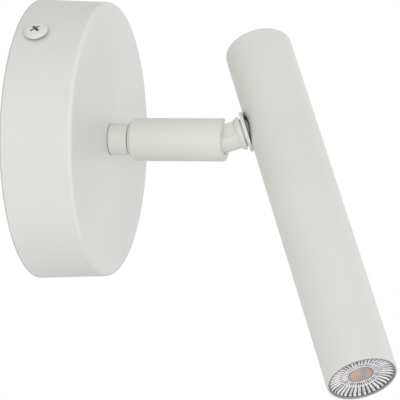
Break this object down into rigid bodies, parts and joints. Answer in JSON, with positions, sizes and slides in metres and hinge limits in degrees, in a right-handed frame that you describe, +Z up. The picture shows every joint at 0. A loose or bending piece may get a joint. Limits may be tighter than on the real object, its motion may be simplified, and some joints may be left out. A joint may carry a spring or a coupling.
{
  "type": "pivoting spotlight wall light",
  "caption": "Round wall canopy with a short swivel arm, a knuckle joint and a slim cylindrical spotlight head with a faceted clear lens.",
  "frame": {"origin": "middle of the canopy's back plane, on the wall", "axes": "+Z up, +Y into the wall, the arm stands out along -Y"},
  "size_m": [0.1161, 0.139, 0.135],
  "materials": {
    "paint": "satin",
    "paint_tube": "satin powder coat",
    "steel": "zinc plated",
    "spring_steel": "oiled",
    "brass": "turned",
    "nylon": "matt",
    "bare_aluminium": "machined",
    "bezel": "dark plated",
    "lens": "clear polished",
    "holder": "matt",
    "board": "white solder mask",
    "phosphor": "matt",
    "driver_case": "matt",
    "terminal": "satin",
    "lead": "insulated wire"
  },
  "bodies": {
    "base": {"canopy": "paint", "wall_plate": "steel", "canopy_screws": "paint", "earth_screw": "steel", "driver": "driver_case", "driver_screws": "steel", "terminal_block": "terminal", "terminal_screws": "brass", "supply_leads": "lead", "output_leads": "lead", "neck": "paint", "neck_lock_washer": "steel", "neck_nut": "brass", "swivel_wave_washer": "spring_steel", "swivel_ring": "spring_steel"},
    "arm": {"sleeve": "paint", "rear_bush": "brass", "stop_ring": "spring_steel", "pivot_pins": "paint", "friction_shoe": "nylon", "shoe_spring": "spring_steel"},
    "stem": {"stem": "paint", "flat_washer": "paint", "spin_wave_washer": "spring_steel", "stem_nut": "brass"},
    "head": {"tube": "paint_tube", "friction_disc": "nylon", "saddle": "bare_aluminium", "top_cap": "paint_tube", "heatsink": "bare_aluminium", "led_board": "board", "led_chip": "phosphor", "board_screws": "steel", "led_leads": "lead", "lens_holder": "holder", "lens": "lens", "bezel": "bezel"}
  },
  "joints": [
    {"name": "arm_swivel", "type": "hinge", "parent": "base", "child": "arm", "pos_m": [0, -0.0327, 0], "axis": [0, -1, 0], "range_deg": [-170, 170]},
    {"name": "knuckle_tilt", "type": "hinge", "parent": "arm", "child": "stem", "pos_m": [0, -0.0657, 0], "axis": [-0.8281, 0, 0.5606], "range_deg": [-21.9, 18.1]},
    {"name": "head_spin", "type": "hinge", "parent": "stem", "child": "head", "pos_m": [0.00462, -0.08621, 0.00683], "axis": [0.2091, -0.9278, 0.3089], "range_deg": [-170, 170]}
  ]
}
